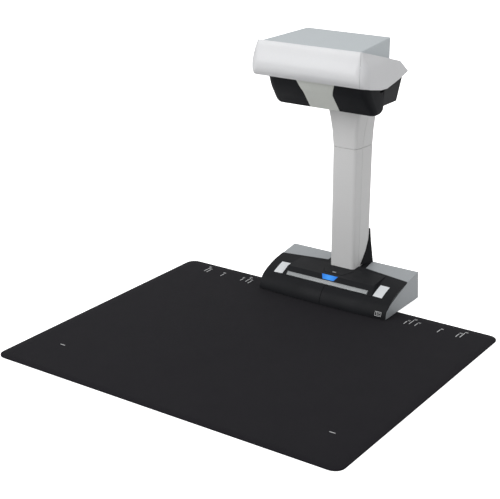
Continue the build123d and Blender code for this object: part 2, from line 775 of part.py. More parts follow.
def band_zone(gap, low=0.0):
    b = head_top - scan_bottom_drop
    outline = Polyline((-22.9 - gap, -60, b - 5), (22.9 + gap, -60, b - 5), (22.9 + gap, -60, b + 25),
                       (33.0 + gap, -60, b + 50), (-33.0 - gap, -60, b + 50), (-22.9 - gap, -60, b + 25), close=True)
    return extrude(make_face(outline), amount=60 + 5.5 + gap + low, dir=(0, 1, 0))


window_half_x = 15.0
window_y0 = -4.6
window_y1 = 3.0
lamp_x0, lamp_x1 = 30.0, 66.0


def window_cut(gap):
    b = head_top - scan_bottom_drop
    return block(-window_half_x - gap, window_half_x + gap, window_y0 - gap, window_y1 + gap, b - 3, b + 8)


def lamp_cut(sign, gap):
    b = head_top - scan_bottom_drop
    return block(sign * (lamp_x0 - gap), sign * (lamp_x1 + gap), window_y0 - gap, window_y1 + gap, b - 3, b + 8)


def scan_shell():
    shell = unit_form() - unit_form(thin_wall)
    shell = shell - band_zone(seam_gap)
    for sign in (-1, 1):
        shell -= lamp_cut(sign, 0.1)
    return shell - block(-100, 100, 6, 30, unit_rear_top, head_top)


def scan_band():
    band = (unit_form() - unit_form(thin_wall)) & band_zone(0)
    return band - window_cut(0.1)


def lens_window():
    b = head_top - scan_bottom_drop
    return block(-window_half_x, window_half_x, window_y0, window_y1, b + 0.3, b + 1.8)


def lamp_lenses(sign):
    b = head_top - scan_bottom_drop
    plate = block(sign * lamp_x0, sign * lamp_x1, window_y0, window_y1, b + 0.2, b + 2.2)
    middle = (window_y0 + window_y1) / 2
    return plate + (rod_x(middle, b + 2.2, 2.6, sign * lamp_x0, sign * lamp_x1) & block(
        -100, 100, -20, 20, b + 1.0, b + 6))


def lamp_board(sign):
    b = head_top - scan_bottom_drop
    board = block(sign * (lamp_x0 - 2), sign * (lamp_x1 + 2), -6.6, 5.6, b + 9.5, b + 11.0)
    return board


def lamp_diodes(sign):
    b = head_top - scan_bottom_drop
    diodes = []
    for step in range(6):
        x = sign * (lamp_x0 + 3 + step * (lamp_x1 - lamp_x0 - 6) / 5)
        diodes.append(block(x - 1.5, x + 1.5, -2.3, 0.7, b + 8.3, b + 9.5))
    return diodes


def scan_frame():
    """Inner frame of the turning unit: a bridge with two end plates that hold the stub axles."""
    top = axle_z + axle_radius + 4.0
    bridge = block(-scan_upper_half, scan_upper_half, -16, 9, top - 2.0, top)
    frame = bridge
    low = head_top - scan_bottom_drop + 12.0
    for sign in (-1, 1):
        plate = side_prism([(-16, top), (9, top), (9, axle_z - 8), (5, low + 16), (-9, low + 16), (-16, axle_z - 8)],
                           sign * scan_upper_half, sign * (scan_upper_half - 2.0))
        plate = plate - rod_x(axle_y, axle_z, axle_radius, sign * 50, sign * 62)
        frame += plate
    shelf = block(-72, 72, -9, 5, low + 14, low + 16)
    frame += shelf
    return frame - block(-13, 13, -13, 7, low + 10, low + 20)


def scan_axles():
    axles = []
    for sign in (-1, 1):
        end = outer_plane - 0.3 if sign > 0 else cheek_x + cheek_thickness + 2.4
        axle = rod_x(axle_y, axle_z, axle_radius, sign * (scan_upper_half - 2.0), sign * end)
        collar = rod_x(axle_y, axle_z, axle_radius + 2.0, sign * (scan_upper_half - 5.0), sign * (scan_upper_half - 2.0))
        axles.append(axle + collar)
    return axles


def optics_block():
    low = head_top - scan_bottom_drop + 16.0
    high = axle_z + 1.0
    body = block(-12, 12, -12, 6, low, high)
    body = body - rod_z(0, -1.5, 7.0, low - 1, low + 14) - block(-10, 10, -9.5, 3.5, low + 14, high + 1)
    ears = block(-20, -12, -12, 6, high - 4, high) + block(12, 20, -12, 6, high - 4, high)
    return body + ears


def lens_barrel():
    low = head_top - scan_bottom_drop + 10.0
    tube = rod_z(0, -1.5, 6.95, low, low + 18)
    return tube - rod_z(0, -1.5, 5.4, low - 1, low + 19)


def lens_glass():
    low = head_top - scan_bottom_drop + 10.0
    return [rod_z(0, -1.5, 5.35, low + 1.0, low + 3.4), rod_z(0, -1.5, 5.35, low + 13.0, low + 15.6)]


def sensor_board():
    z0 = axle_z + 1.0
    return block(-24, 24, -11, 6, z0, z0 + 1.6)


def line_sensor():
    z1 = axle_z + 1.0
    return block(-9, 9, -5, 2, z1 - 2.4, z1)


# ---------------------------------------------------------------- small pieces of the base
def foot_places():
    fronts = [(x, foot_front_y) for x in (-foot_front_x, foot_front_x)]
    return fronts + [(x, foot_rear_y) for x in (-foot_rear_x, foot_rear_x)]


def bottom_plate():
    edge = base_half - shell_wall - 0.3
    rear = base_inner_rear - 0.2
    plate = plan_prism(mirrored_plan([(edge, 1.5), (edge, rear)]), base_gap, floor_top)
    for x, y in foot_places():
        plate -= rod_z(x, y, foot_radius + 0.1, base_gap - 1, base_gap + foot_seat)
    return plate


def rubber_feet():
    feet = []
    for x, y in foot_places():
        foot = rod_z(x, y, foot_radius, 0, base_gap + foot_seat)
        feet.append(chamfer(foot.edges().group_by(Axis.Z)[0], 0.5))
    return feet


def ballast_plate():
    return block(-84, 84, 18, 87, floor_top, floor_top + ballast_thickness)


def calibration_patch(sign):
    strip = deck_form() - deck_form(drop=1.2, back=1.1)
    return strip & block(sign * patch_inner, sign * patch_outer, patch_front_y, patch_rear_y, 0, 80)


def patch_pocket(sign):
    gap = 0.12
    strip = deck_form(drop=-1) - deck_form(drop=1.2, back=1.1)
    return strip & block(sign * (patch_inner - gap), sign * (patch_outer + gap), patch_front_y - gap,
                         patch_rear_y + gap, 0, 80)


stop_front_y = 28.5
stop_rear_y = 47.0
stop_front_half = 16.5
stop_rear_half = 23.5


def stop_plan(gap, z0, z1):
    return plan_prism(mirrored_plan([(stop_front_half - 3 + gap, stop_front_y - gap),
                                     (stop_front_half + gap, stop_front_y + 2.4 - gap),
                                     (stop_rear_half + gap, stop_rear_y + gap)]), z0, z1)


def stop_button():
    cap = stop_plan(0, 33.8, 60) & side_prism([(20, 33.8), (20, console_flat_z + 0.1), (60, console_flat_z + 3.4),
                                               (60, 33.8)], -40, 40)
    ledge = stop_plan(1.4, 33.0, 34.4)
    post = rod_z(0, 37.5, 2.0, 29.2, 33.2)
    return cap + ledge + post


def stop_room():
    return stop_plan(button_gap, 34, 80) + stop_plan(2.0, 30, 34.6)


def stop_switch():
    top = 29.2 - stop_travel - 0.15
    return [block(-3, 3, 34.5, 40.5, top - 2.6, top - 0.6) + rod_z(0, 37.5, 1.7, top - 0.7, top)]


def stop_board():
    top = 29.2 - stop_travel - 0.15 - 2.6
    return block(-16, 16, 30, 48, top - 1.6, top)


def main_board():
    return block(-76, -36, 62, 87, board_low, board_low + board_thickness)


def power_socket():
    z = board_low + board_thickness
    y1 = base_rear - 1.6
    wall = base_inner_rear - 0.5
    shell = block(power_x - 4.6, power_x + 4.6, wall - 12, wall, z, power_z + 4.4)
    shell += rod_y(power_x, power_z, 4.1, wall, y1)
    shell -= rod_y(power_x, power_z, power_bore, y1 - power_bore_length, y1 + 2)
    return shell + rod_y(power_x, power_z, 0.9, y1 - power_bore_length - 1, y1 - 1.5)


def usb_socket():
    z = board_low + board_thickness
    y1 = base_rear - 2.2
    shell = block(usb_x - 6, usb_x + 6, 77, y1, z, z + 11)
    shell -= block(usb_x - 4.3, usb_x + 4.3, 80, y1 + 1, z + 1.4, z + 9.2)
    tongue = block(usb_x - 2.8, usb_x + 2.8, 79, y1 - 2, z + 4.0, z + 6.8)
    return shell + tongue


def frame_screws():
    screws = []
    head = chassis_floor + cheek_thickness
    for x, y in cap_screws():
        screws.append(rod_z(x, y, screw_radius + 1.3, head, head + 1.6) +
                      rod_z(x, y, screw_radius, head - 6, head))
    for x in (-21, 21):
        for y in (61, 84):
            foot = floor_top + ballast_thickness + 2.5
            screws.append(rod_z(x, y, screw_radius + 1.3, foot, foot + 1.6) +
                          rod_z(x, y, screw_radius, foot - 2.5, foot))
    return screws


def background_mat():
    plate = block(-mat_half, mat_half, mat_front, mat_rear, 0.0, mat_thickness)
    plate = fillet(plate.edges().filter_by(Axis.Z), 14.0)
    for sign in (-1, 1):
        notch = block(sign * foot_front_x - foot_radius - 1.5, sign * foot_front_x + foot_radius + 1.5,
                      foot_front_y - foot_radius - 1.5, mat_rear + 1, -1, mat_thickness + 1)
        plate -= notch
    return plate


def column_harness():
    """Lead bundle that climbs inside the steel channel from the main board to the head."""
    route = FilletPolyline((-34.0, 78.0, harness_z), (0.0, 78.0, harness_z),
                           (0.0, 78.0, chassis_floor + 5.5), radius=9.0)
    ring = Plane(origin=route @ 0, z_dir=route % 0) * Circle(1.8)
    return sweep(ring, path=route)


def head_board():
    return block(-40, 40, 42, 66, chassis_floor + cheek_thickness + 4, chassis_floor + cheek_thickness + 5.6)


if __name__ == "__main__":
    column_hole = column_form(20, 60, -0.3)
    save("base_shell", base_shell())
    cover = deck_cover() - console_form(-0.5, fit_gap) - scan_bar_room() - column_hole - base_shell()
    for sign in (-1, 1):
        cover -= patch_pocket(sign)
    save("deck_cover", cover)
    console = console_shell() - scan_bar_room() - lamp_plan(0.1) - stop_room() - column_hole
    save("console_panel", console & plan_prism(split_plan(0.15), 0, 80))
    save("scan_bar_button", scan_bar())
    save("scan_switches", *scan_switches())
    save("control_board", control_board())
    save("power_light_guide", power_light_guide())
    save("stop_button", stop_button())
    save("stop_switch", *stop_switch())
    save("stop_switch_board", stop_board())
    for name, sign in (("left", -1), ("right", 1)):
        save(f"calibration_patch_{name}", calibration_patch(sign))
    save("bottom_plate", bottom_plate())
    save("rubber_feet", *rubber_feet())
    save("ballast_plate", ballast_plate())
    save("main_board", main_board())
    save("power_socket", power_socket())
    save("usb_socket", usb_socket())
    save("frame_screws", *frame_screws())
    save("background_mat", background_mat())

    save("column_front_shell", column_half_shell(column_foot_z - 3, collar_z, True))
    save("column_rear_shell", column_half_shell(column_foot_z - 2, collar_z, False))
    save("collar_front_shell", collar_shell(True))
    save("collar_rear_shell", collar_shell(False))
    save("rear_gusset", rear_gusset())
    save("column_frame", column_frame())
    save("column_harness", column_harness())

    save("hood_top_cover", hood_top_cover())
    front, left, right, deck = visor_parts()
    save("visor_front_panel", front)
    save("visor_wing_left", left)
    save("visor_wing_right", right)
    save("head_rear_deck", deck)
    save("underside_housing", underside_housing())
    save("head_chassis", head_chassis())
    save("head_board", head_board())
    save("axle_bushes", *axle_bushes())
    save("drive_motor", drive_motor())
    save("motor_pinion", motor_pinion())
    save("idler_gear", idler_gear())
    save("idler_pin", idler_pin())

    save("scan_unit_shell", scan_shell())
    save("scan_unit_band", scan_band())
    save("lens_window", lens_window())
    for name, sign in (("left", -1), ("right", 1)):
        save(f"lamp_lens_{name}", lamp_lenses(sign))
        save(f"lamp_board_{name}", lamp_board(sign))
        save(f"lamp_diodes_{name}", *lamp_diodes(sign))
    save("scan_frame", scan_frame())
    save("scan_axles", *scan_axles())
    save("scan_gear", scan_gear())
    save("optics_block", optics_block())
    save("lens_barrel", lens_barrel())
    save("lens_elements", *lens_glass())
    save("sensor_board", sensor_board())
    save("line_sensor", line_sensor())
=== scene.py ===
import json
from math import cos, pi, radians, sin

import bmesh
import bpy
from mathutils import Matrix, Vector
from mathutils.bvhtree import BVHTree


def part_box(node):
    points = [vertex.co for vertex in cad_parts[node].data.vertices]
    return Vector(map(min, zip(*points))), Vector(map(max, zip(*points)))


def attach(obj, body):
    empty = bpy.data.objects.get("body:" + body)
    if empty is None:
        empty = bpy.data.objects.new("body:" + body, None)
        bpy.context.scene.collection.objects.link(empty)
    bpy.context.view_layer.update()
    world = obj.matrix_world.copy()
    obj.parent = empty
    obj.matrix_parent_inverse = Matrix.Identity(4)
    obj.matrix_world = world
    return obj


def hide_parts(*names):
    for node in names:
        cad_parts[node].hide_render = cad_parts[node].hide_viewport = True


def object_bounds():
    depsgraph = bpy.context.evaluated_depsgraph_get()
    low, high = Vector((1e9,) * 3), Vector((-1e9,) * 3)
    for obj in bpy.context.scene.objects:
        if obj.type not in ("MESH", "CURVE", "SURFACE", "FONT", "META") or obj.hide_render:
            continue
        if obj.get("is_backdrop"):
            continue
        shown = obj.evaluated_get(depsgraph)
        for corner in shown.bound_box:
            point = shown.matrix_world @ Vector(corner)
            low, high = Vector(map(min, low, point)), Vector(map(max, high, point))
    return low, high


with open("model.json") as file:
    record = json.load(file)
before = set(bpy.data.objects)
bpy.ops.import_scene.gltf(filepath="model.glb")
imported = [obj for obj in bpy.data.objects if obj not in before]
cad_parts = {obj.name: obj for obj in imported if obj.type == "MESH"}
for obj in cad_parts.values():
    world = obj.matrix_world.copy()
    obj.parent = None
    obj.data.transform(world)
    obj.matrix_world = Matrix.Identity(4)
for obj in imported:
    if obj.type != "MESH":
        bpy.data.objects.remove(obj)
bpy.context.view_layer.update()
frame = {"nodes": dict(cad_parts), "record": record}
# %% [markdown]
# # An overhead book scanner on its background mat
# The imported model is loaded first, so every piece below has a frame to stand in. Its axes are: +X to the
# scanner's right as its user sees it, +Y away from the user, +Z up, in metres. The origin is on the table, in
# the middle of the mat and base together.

nodes = frame["nodes"]
mm = 0.001
body_of = {node: body for body, members in frame["record"]["behaviour"]["bodies"].items() for node in members}
slot_of = {node: piece.data.materials[0].name for node, piece in nodes.items()}
for plain in set(bpy.data.materials):
    bpy.data.materials.remove(plain)

# %% [markdown]
# ## Camera
# A long lens from the front right and a little above, as for a catalogue picture. The camera's turn is put
# together from its three axes: where it looks, what is right and what is up for it.

# %% Camera
camera_place = Vector((0.81323, -1.22106, 0.67194))
camera_yaw, camera_pitch, camera_roll = radians(34.455), radians(20.339), radians(0.186)
looking = Vector((-sin(camera_yaw) * cos(camera_pitch), cos(camera_yaw) * cos(camera_pitch),
                  -sin(camera_pitch)))
level = Vector((cos(camera_yaw), sin(camera_yaw), 0))
upward = level.cross(looking)
camera_x = level * cos(camera_roll) + upward * sin(camera_roll)
camera_y = -level * sin(camera_roll) + upward * cos(camera_roll)

camera_data = bpy.data.cameras.new("camera")
camera_data.lens = 86.46
camera_data.sensor_width = 36
camera = bpy.data.objects.new("camera", camera_data)
bpy.context.collection.objects.link(camera)
camera.matrix_world = Matrix((camera_x, camera_y, -looking)).transposed().to_4x4()
camera.matrix_world.translation = camera_place
bpy.context.scene.camera = camera
print("camera at", tuple(camera_place))

# %% [markdown]
# ## Light
# A catalogue picture of office equipment stands on plain white, with soft light from everywhere and a
# little more from the front left, so that the right-hand faces are a shade darker. The world looks pure white
# to the camera, but lights the scanner with less than that, so its pale paint doesn't burn out.

# %% Light
scene = bpy.context.scene
scene.view_settings.view_transform = "Standard"
world = bpy.data.worlds.new("white_room")
scene.world = world
world.use_nodes = True
world_tree = world.node_tree
world_light = 0.58
seen = world_tree.nodes.new("ShaderNodeLightPath").outputs["Is Camera Ray"]
strength = world_tree.nodes.new("ShaderNodeMapRange")
strength.inputs["To Min"].default_value = world_light
strength.inputs["To Max"].default_value = 1.0
world_tree.links.new(seen, strength.inputs["Value"])
background = world_tree.nodes["Background"]
background.inputs["Color"].default_value = (1, 1, 1, 1)
world_tree.links.new(strength.outputs["Result"], background.inputs["Strength"])


def area_light(name, place, target, size, power):
    data = bpy.data.lights.new(name, "AREA")
    data.size, data.energy = size, power
    lamp = bpy.data.objects.new(name, data)
    bpy.context.collection.objects.link(lamp)
    lamp.location = place
    lamp.rotation_euler = (Vector(target) - Vector(place)).to_track_quat("-Z", "Y").to_euler()
    return lamp


head_middle = (0, 0.15, 0.34)
area_light("key_light", (-1.1, -1.9, 1.5), head_middle, 1.6, 27)
area_light("top_light", (0.2, 0.5, 2.3), (0, 0, 0), 1.8, 9)
area_light("side_light", (2.0, -0.9, 0.5), (0, 0.15, 0.2), 1.5, 3)
print("world", world_light, "to the scanner, 1.0 to the camera")


# %% [markdown]
# ## Finishes
# Most of the scanner is moulded plastic. What tells one moulding from another is its grain, its gloss and a
# fine scatter in its colour, so each of those effects is one node group, used by every finish with its own
# values. The patterns read Object coordinates, which are metres, so a grain size is a real size.

# %% Node group helpers
def effect(name, inputs, outputs):
    """An empty node group with float inputs, a Coords input and float outputs."""
    tree = bpy.data.node_groups.new(name, "ShaderNodeTree")
    tree.interface.new_socket("Coords", in_out="INPUT", socket_type="NodeSocketVector")
    for label, value in inputs.items():
        tree.interface.new_socket(label, in_out="INPUT", socket_type="NodeSocketFloat").default_value = value
    for label in outputs:
        tree.interface.new_socket(label, in_out="OUTPUT", socket_type="NodeSocketFloat")
    return tree, tree.nodes.new("NodeGroupInput"), tree.nodes.new("NodeGroupOutput")


def add(tree, kind, settings=None, **values):
    """One node, with its settings, and its inputs set to a value or linked to a socket."""
    made = tree.nodes.new("ShaderNode" + kind)
    for key, value in (settings or {}).items():
        setattr(made, key, value)
    for key, value in values.items():
        socket = made.inputs[int(key[1:])] if key[1:].isdigit() else made.inputs[key.replace("_", " ")]
        if isinstance(value, bpy.types.NodeSocket):
            tree.links.new(value, socket)
        else:
            socket.default_value = value
    return made


def sum_of(tree, a, b, operation="ADD", clamp=False):
    return add(tree, "Math", {"operation": operation, "use_clamp": clamp}, i0=a, i1=b).outputs[0]


def stretched(tree, value, low, high, to_low=0.0, to_high=1.0):
    """The value moved from one range to another, and held inside it."""
    return add(tree, "MapRange", {"clamp": True}, Value=value, From_Min=low, From_Max=high,
               To_Min=to_low, To_Max=to_high).outputs["Result"]


# %% Grain of a moulding, and the slow cloudiness of its colour
grain_group, grain_in, grain_out = effect("moulded_grain", {"Size": 0.0005}, ["Height", "Cloud"])
per_metre = sum_of(grain_group, 1.0, grain_in.outputs["Size"], "DIVIDE")
grain_points = add(grain_group, "VectorMath", {"operation": "SCALE"}, i0=grain_in.outputs["Coords"],
                   Scale=per_metre).outputs[0]
bumps = add(grain_group, "TexNoise", Vector=grain_points, Scale=1.0, Detail=2.5,
            Roughness=0.55).outputs["Fac"]
pits = add(grain_group, "TexVoronoi", {"feature": "SMOOTH_F1"}, Vector=grain_points,
           Scale=0.8).outputs["Distance"]
clouds = add(grain_group, "TexNoise", Vector=grain_in.outputs["Coords"], Scale=28.0, Detail=4.0,
             Roughness=0.6).outputs["Fac"]
grain_group.links.new(sum_of(grain_group, sum_of(grain_group, bumps, 0.6, "MULTIPLY"),
                             sum_of(grain_group, pits, 0.5, "MULTIPLY")), grain_out.inputs["Height"])
grain_group.links.new(stretched(grain_group, clouds, 0.3, 0.7), grain_out.inputs["Cloud"])

# %% Flakes of a metallic paint
flake_group, flake_in, flake_out = effect("paint_flakes", {"Size": 0.0003}, ["Flake"])
flake_points = add(flake_group, "VectorMath", {"operation": "SCALE"}, i0=flake_in.outputs["Coords"],
                   Scale=sum_of(flake_group, 1.0, flake_in.outputs["Size"], "DIVIDE")).outputs[0]
cells = add(flake_group, "TexVoronoi", {"feature": "F1"}, Vector=flake_points, Scale=1.0).outputs["Color"]
cell_value = add(flake_group, "SeparateColor", Color=cells).outputs[0]
flake_group.links.new(stretched(flake_group, cell_value, 0.1, 0.9), flake_out.inputs["Flake"])

# %% Wear along the edges, broken up by a noise
wear_group, wear_in, wear_out = effect("edge_wear", {"Width": 0.0012}, ["Edge"])
round_normal = add(wear_group, "Bevel", {"samples": 4}, Radius=wear_in.outputs["Width"]).outputs["Normal"]
flat_normal = add(wear_group, "NewGeometry").outputs["Normal"]
likeness = add(wear_group, "VectorMath", {"operation": "DOT_PRODUCT"}, i0=round_normal, i1=flat_normal)
edge_line = stretched(wear_group, likeness.outputs["Value"], 0.985, 0.80)
break_up = add(wear_group, "TexNoise", Vector=wear_in.outputs["Coords"], Scale=260.0,
               Detail=3.0).outputs["Fac"]
wear_group.links.new(sum_of(wear_group, edge_line, stretched(wear_group, break_up, 0.35, 0.6), "MULTIPLY"),
                     wear_out.inputs["Edge"])

# %% Dust on what faces up, and the smudges that hands leave
dust_group, dust_in, dust_out = effect("dust_and_smudges", {}, ["Dust", "Smudge"])
up_part = add(dust_group, "SeparateXYZ", Vector=add(dust_group, "NewGeometry").outputs["Normal"]).outputs["Z"]
specks = add(dust_group, "TexNoise", Vector=dust_in.outputs["Coords"], Scale=1400.0,
             Detail=2.0).outputs["Fac"]
patches = add(dust_group, "TexNoise", Vector=dust_in.outputs["Coords"], Scale=19.0, Detail=5.0,
              Roughness=0.65).outputs["Fac"]
lying = sum_of(dust_group, stretched(dust_group, up_part, 0.4, 1.0), stretched(dust_group, specks, 0.52, 0.7),
               "MULTIPLY")
dust_group.links.new(sum_of(dust_group, lying, stretched(dust_group, patches, 0.35, 0.65), "MULTIPLY"),
                     dust_out.inputs["Dust"])
dust_group.links.new(stretched(dust_group, patches, 0.42, 0.66), dust_out.inputs["Smudge"])

# %% Streaks of a drawn or brushed metal, along X
streak_group, streak_in, streak_out = effect("drawn_streaks", {"Pitch": 0.0004}, ["Streak"])
long_points = add(streak_group, "Mapping", Vector=streak_in.outputs["Coords"], Scale=(0.02, 1, 1)).outputs[0]
streak_points = add(streak_group, "VectorMath", {"operation": "SCALE"}, i0=long_points,
                    Scale=sum_of(streak_group, 1.0, streak_in.outputs["Pitch"], "DIVIDE")).outputs[0]
streak_noise = add(streak_group, "TexNoise", Vector=streak_points, Scale=1.0, Detail=3.0).outputs["Fac"]
streak_group.links.new(stretched(streak_group, streak_noise, 0.3, 0.7), streak_out.inputs["Streak"])

# %% Plain weave: warp and weft pass over each other in turn, with painted shade between the threads
weave_group, weave_in, weave_out = effect("plain_weave", {"Pitch": 0.0007}, ["Height", "ThreadToneAndShade"])
weave_points = add(weave_group, "VectorMath", {"operation": "SCALE"}, i0=weave_in.outputs["Coords"],
                   Scale=sum_of(weave_group, pi, weave_in.outputs["Pitch"], "DIVIDE")).outputs[0]
weave_xyz = add(weave_group, "SeparateXYZ", Vector=weave_points)
across = add(weave_group, "Math", {"operation": "SINE"}, i0=weave_xyz.outputs["X"]).outputs[0]
along = add(weave_group, "Math", {"operation": "SINE"}, i0=weave_xyz.outputs["Y"]).outputs[0]
crossing = sum_of(weave_group, across, along, "MULTIPLY")
fibres = add(weave_group, "TexNoise", Vector=weave_in.outputs["Coords"], Scale=5200.0,
             Detail=3.0).outputs["Fac"]
weave_group.links.new(sum_of(weave_group, stretched(weave_group, crossing, -1, 1),
                             sum_of(weave_group, fibres, 0.6, "MULTIPLY")), weave_out.inputs["Height"])
# The second output is painted shade: darker where the threads dip into the gaps, lighter where they cross
# over, plus a random fibre tone.
weave_group.links.new(stretched(weave_group, sum_of(weave_group, crossing, fibres), -0.4, 1.4),
                      weave_out.inputs["ThreadToneAndShade"])
print("effects", [g.name for g in bpy.data.node_groups])


# %% Shared steps of a finish
def new_finish(name):
    """A material with a Principled shader, and the Object coordinates to build on."""
    material = bpy.data.materials.new(name)
    material.use_nodes = True
    tree = material.node_tree
    shader = tree.nodes["Principled BSDF"]
    coords = tree.nodes.new("ShaderNodeTexCoord").outputs["Object"]
    return material, tree, shader, coords


def use(tree, group, coords, **values):
    placed = tree.nodes.new("ShaderNodeGroup")
    placed.node_tree = group
    tree.links.new(coords, placed.inputs["Coords"])
    for key, value in values.items():
        placed.inputs[key].default_value = value
    return placed.outputs


def blend(tree, factor, first, second):
    """A colour between two, by a mask. A colour is three linear values or a socket."""
    mix = tree.nodes.new("ShaderNodeMix")
    mix.data_type = "RGBA"
    tree.links.new(factor, mix.inputs["Factor"])
    for socket, value in ((mix.inputs[6], first), (mix.inputs[7], second)):
        if isinstance(value, bpy.types.NodeSocket):
            tree.links.new(value, socket)
        else:
            socket.default_value = (*value, 1)
    return mix.outputs[2]


def bump(tree, shader, height, depth, strength=1.0):
    bumped = add(tree, "Bump", Height=height, Distance=depth, Strength=strength)
    tree.links.new(bumped.outputs["Normal"], shader.inputs["Normal"])


def shade(colour, factor):
    return tuple(min(1.0, channel * factor) for channel in colour)


finishes = {}


# %% [markdown]
# ### Painted mouldings
# The hood, visor, column and base are plastic sprayed with a fine pearl or silver paint. Under a soft light
# such a paint looks nearly flat, with a faint sparkle close up, a slight orange peel and a paler line where
# the paint is thin along the edges.

# %% Painted mouldings
def painted(slot, colour, roughness, flake=0.05, metallic=0.0, peel=0.00004):
    material, tree, shader, coords = new_finish(slot)
    grain = use(tree, grain_group, coords, Size=0.0011)
    sparkle = use(tree, flake_group, coords, Size=0.00022)
    dust = use(tree, dust_group, coords)
    edge = use(tree, wear_group, coords, Width=0.0009)
    base = blend(tree, sparkle["Flake"], shade(colour, 1 - flake), shade(colour, 1 + flake))
    base = blend(tree, sum_of(tree, grain["Cloud"], 0.06, "MULTIPLY"), base, shade(colour, 0.80))
    base = blend(tree, sum_of(tree, edge["Edge"], 0.22, "MULTIPLY"), base, shade(colour, 1.25))
    base = blend(tree, sum_of(tree, dust["Dust"], 0.10, "MULTIPLY"), base, (0.62, 0.60, 0.56))
    tree.links.new(base, shader.inputs["Base Color"])
    tree.links.new(stretched(tree, dust["Smudge"], 0, 1, roughness - 0.03, roughness + 0.05),
                   shader.inputs["Roughness"])
    shader.inputs["Metallic"].default_value = metallic
    shader.inputs["Coat Weight"].default_value = 0.12
    shader.inputs["Coat Roughness"].default_value = 0.28
    bump(tree, shader, grain["Height"], peel)
    finishes[slot] = material


painted("hood_silver", (0.565, 0.612, 0.637), 0.42, metallic=0.15)
painted("visor_white", (0.71, 0.715, 0.73), 0.36, flake=0.03)
painted("column_white", (0.72, 0.72, 0.72), 0.36, flake=0.03)
painted("silver_grey_plastic", (0.39, 0.413, 0.432), 0.42, metallic=0.15)
painted("band_silver", (0.70, 0.72, 0.68), 0.40, metallic=0.1)
painted("button_silver", (0.24, 0.252, 0.258), 0.34, metallic=0.35)


# %% [markdown]
# ### Bare mouldings
# The deck, the scan unit and the small parts are coloured right through. Their tools were spark-eroded, so
# the surface is matt, with pits of a few tenths of a millimetre that show as a soft sheen.

# %% Bare mouldings
def moulded(slot, colour, roughness, size=0.00045, depth=0.00005, dusty=0.10, gloss=0.5):
    material, tree, shader, coords = new_finish(slot)
    grain = use(tree, grain_group, coords, Size=size)
    dust = use(tree, dust_group, coords)
    edge = use(tree, wear_group, coords, Width=0.0008)
    base = blend(tree, grain["Cloud"], shade(colour, 0.90), shade(colour, 1.12))
    base = blend(tree, sum_of(tree, edge["Edge"], 0.35, "MULTIPLY"), base, shade(colour, 2.2))
    base = blend(tree, sum_of(tree, dust["Dust"], dusty, "MULTIPLY"), base, (0.40, 0.39, 0.37))
    tree.links.new(base, shader.inputs["Base Color"])
    tree.links.new(stretched(tree, dust["Smudge"], 0, 1, roughness - 0.05, roughness + 0.05),
                   shader.inputs["Roughness"])
    shader.inputs["Specular IOR Level"].default_value = gloss
    bump(tree, shader, grain["Height"], depth)
    finishes[slot] = material


moulded("charcoal_plastic", (0.0125, 0.0131, 0.0152), 0.52, dusty=0.03, gloss=0.12)
moulded("component_black", (0.012, 0.012, 0.012), 0.42, size=0.0003)
moulded("rubber", (0.018, 0.018, 0.018), 0.78, size=0.0008, depth=0.0001)
moulded("gear_nylon", (0.70, 0.68, 0.60), 0.38, size=0.0006, depth=0.00002, dusty=0.02)
moulded("harness_jacket", (0.03, 0.03, 0.032), 0.70, size=0.0009, depth=0.00015)
moulded("diode_yellow", (0.80, 0.60, 0.07), 0.35, size=0.0004, depth=0.00002, dusty=0.0)


# %% [markdown]
# ### Metals
# The frame, the ballast and the screws are hidden in use, but they are the first things seen when the shell
# is off. Rolled and plated sheet has faint streaks along the way it was rolled, and a cloudy zinc coat.

# %% Metals
def metal(slot, colour, roughness, pitch=0.0004):
    material, tree, shader, coords = new_finish(slot)
    streak = use(tree, streak_group, coords, Pitch=pitch)
    dust = use(tree, dust_group, coords)
    grain = use(tree, grain_group, coords, Size=0.0012)
    base = blend(tree, streak["Streak"], shade(colour, 0.86), shade(colour, 1.08))
    base = blend(tree, sum_of(tree, grain["Cloud"], 0.25, "MULTIPLY"), base, shade(colour, 0.78))
    tree.links.new(base, shader.inputs["Base Color"])
    tree.links.new(stretched(tree, dust["Smudge"], 0, 1, roughness - 0.06, roughness + 0.10),
                   shader.inputs["Roughness"])
    shader.inputs["Metallic"].default_value = 1.0
    bump(tree, shader, streak["Streak"], 0.00001)
    finishes[slot] = material


metal("zinc_steel", (0.62, 0.63, 0.64), 0.38)
metal("screw_steel", (0.66, 0.66, 0.66), 0.24, pitch=0.0002)
metal("bronze", (0.58, 0.38, 0.17), 0.40, pitch=0.0003)


# %% [markdown]
# ### Circuit boards
# A board is green lacquer over copper. The tracks show as slightly lighter, slightly raised lines, with
# tinned pads between them, so a brick pattern stands for the tracks and a cell pattern for the pads.

# %% Circuit boards
def circuit_board(slot="circuit_board"):
    material, tree, shader, coords = new_finish(slot)
    tracks = add(tree, "TexBrick", {"offset": 0.37}, Vector=coords, Scale=1.0, Mortar_Size=0.00018,
                 Brick_Width=0.011, Row_Height=0.0016, Color1=(0, 0, 0, 1), Color2=(0, 0, 0, 1),
                 Mortar=(1, 1, 1, 1))
    pads = add(tree, "TexVoronoi", {"feature": "F1"}, Vector=coords, Scale=240.0, Randomness=0.35)
    pad_mask = stretched(tree, pads.outputs["Distance"], 0.20, 0.17)
    lacquer = blend(tree, tracks.outputs["Fac"], (0.010, 0.085, 0.028), (0.030, 0.170, 0.060))
    tree.links.new(blend(tree, pad_mask, lacquer, (0.62, 0.62, 0.58)), shader.inputs["Base Color"])
    tree.links.new(pad_mask, shader.inputs["Metallic"])
    tree.links.new(stretched(tree, pad_mask, 0, 1, 0.30, 0.22), shader.inputs["Roughness"])
    bump(tree, shader, sum_of(tree, tracks.outputs["Fac"], pad_mask), 0.00003)
    finishes[slot] = material


circuit_board()


# %% [markdown]
# ### Glass, light and print
# The lamp covers and the lens window are clear, and the window's glass has the faint blue of a coating. The
# power light is a frosted block lit from below, so it is brightest in its middle. The white patches on the
# deck are matt sheet, against which the scanner sets its white level.

